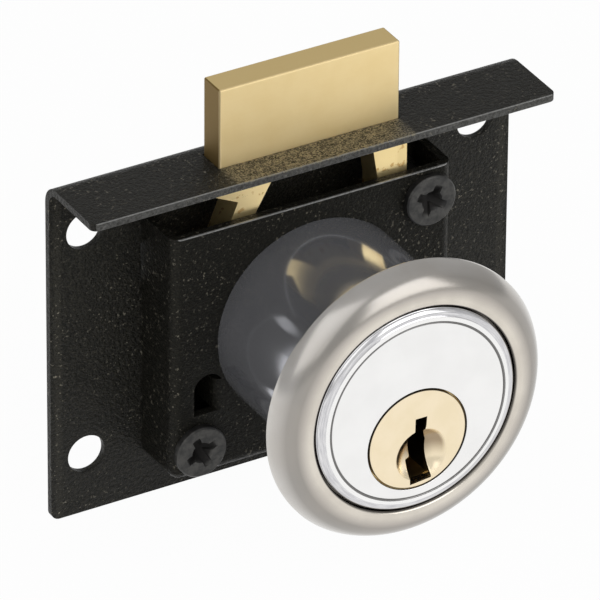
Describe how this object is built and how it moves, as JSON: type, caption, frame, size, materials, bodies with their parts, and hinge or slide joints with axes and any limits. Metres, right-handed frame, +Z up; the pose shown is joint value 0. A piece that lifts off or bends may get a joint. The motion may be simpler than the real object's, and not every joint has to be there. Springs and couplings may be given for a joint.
{
  "type": "desk drawer lock",
  "caption": "Drawer deadbolt lock: folded back plate with a top flange, boxed bolt case, key cylinder with a loose rose ring, and a brass bolt that a cam lifts through the flange.",
  "frame": {"origin": "centre of the back plate's four wood-screw holes, on the plate's rear face", "axes": "+X to the right seen from the keyhole side, along the flange; +Y to the back, out of the plate's rear face; +Z up, the way the bolt throws"},
  "size_m": [0.0684, 0.0362, 0.0622],
  "materials": {
    "black_coat": "fine black powder coat with pale specks",
    "blackened_screw": "blackened steel, satin",
    "bolt_brass": "satin drawn brass",
    "plug_brass": "pale satin brass",
    "pin_brass": "turned brass",
    "barrel_plate": "smooth dark nickel plate",
    "rose_nickel": "bright nickel plate, slightly warm",
    "satin_chrome": "satin chrome face with a polished bevel",
    "plain_steel": "bright zinc plated steel",
    "spring_steel": "drawn spring wire"
  },
  "bodies": {
    "case": {"back_plate": "black_coat", "case_cover": "black_coat", "cover_screw_upper": "blackened_screw", "cover_screw_lower": "blackened_screw", "cylinder_body": "pin_brass", "cylinder_sleeve": "barrel_plate", "cylinder_screw_left": "plain_steel", "cylinder_screw_right": "plain_steel", "face_cap": "satin_chrome", "driver_spring_1": "spring_steel", "driver_spring_2": "spring_steel", "driver_spring_3": "spring_steel", "driver_spring_4": "spring_steel", "driver_spring_5": "spring_steel"},
    "bolt": {"bolt": "bolt_brass"},
    "rose": {"rose_ring": "rose_nickel"},
    "plug": {"plug": "plug_brass", "cam_disc": "plain_steel", "cam_pin": "plain_steel", "cam_screw": "plain_steel"},
    "key_pin_1": {"key_pin_1": "pin_brass"},
    "key_pin_2": {"key_pin_2": "pin_brass"},
    "key_pin_3": {"key_pin_3": "pin_brass"},
    "key_pin_4": {"key_pin_4": "pin_brass"},
    "key_pin_5": {"key_pin_5": "pin_brass"},
    "driver_pin_1": {"driver_pin_1": "pin_brass"},
    "driver_pin_2": {"driver_pin_2": "pin_brass"},
    "driver_pin_3": {"driver_pin_3": "pin_brass"},
    "driver_pin_4": {"driver_pin_4": "pin_brass"},
    "driver_pin_5": {"driver_pin_5": "pin_brass"}
  },
  "joints": [
    {"name": "plug_turn", "type": "hinge", "parent": "case", "child": "plug", "pos_m": [0, -0.0361, -0.0042], "axis": [0, 1, 0], "range_deg": [0, 180]},
    {"name": "bolt_slide", "type": "slide", "parent": "case", "child": "bolt", "axis": [0, 0, 1], "range_m": [-0.0114, 0]},
    {"name": "rose_slide", "type": "slide", "parent": "case", "child": "rose", "axis": [0, 1, 0], "range_m": [0, 0.021]},
    {"name": "key_pin_1_drop", "type": "slide", "parent": "plug", "child": "key_pin_1", "axis": [0, 0, -1], "range_m": [0, 0.00304]},
    {"name": "key_pin_2_drop", "type": "slide", "parent": "plug", "child": "key_pin_2", "axis": [0, 0, -1], "range_m": [0, 0.00184]},
    {"name": "key_pin_3_drop", "type": "slide", "parent": "plug", "child": "key_pin_3", "axis": [0, 0, -1], "range_m": [0, 0.00244]},
    {"name": "key_pin_4_drop", "type": "slide", "parent": "plug", "child": "key_pin_4", "axis": [0, 0, -1], "range_m": [0, 0.00154]},
    {"name": "key_pin_5_drop", "type": "slide", "parent": "plug", "child": "key_pin_5", "axis": [0, 0, -1], "range_m": [0, 0.00274]},
    {"name": "driver_pin_1_lift", "type": "slide", "parent": "case", "child": "driver_pin_1", "axis": [0, 0, 1], "range_m": [0, 0.0016], "stiffness_N_per_m": 60, "springref_m": -0.002, "deforming": ["driver_spring_1"]},
    {"name": "driver_pin_2_lift", "type": "slide", "parent": "case", "child": "driver_pin_2", "axis": [0, 0, 1], "range_m": [0, 0.0016], "stiffness_N_per_m": 60, "springref_m": -0.002, "deforming": ["driver_spring_2"]},
    {"name": "driver_pin_3_lift", "type": "slide", "parent": "case", "child": "driver_pin_3", "axis": [0, 0, 1], "range_m": [0, 0.0016], "stiffness_N_per_m": 60, "springref_m": -0.002, "deforming": ["driver_spring_3"]},
    {"name": "driver_pin_4_lift", "type": "slide", "parent": "case", "child": "driver_pin_4", "axis": [0, 0, 1], "range_m": [0, 0.0016], "stiffness_N_per_m": 60, "springref_m": -0.002, "deforming": ["driver_spring_4"]},
    {"name": "driver_pin_5_lift", "type": "slide", "parent": "case", "child": "driver_pin_5", "axis": [0, 0, 1], "range_m": [0, 0.0016], "stiffness_N_per_m": 60, "springref_m": -0.002, "deforming": ["driver_spring_5"]}
  ],
  "couplings": [
    {"joint": "plug_turn", "follows": "bolt_slide", "rad_per_m": -275.58}
  ]
}
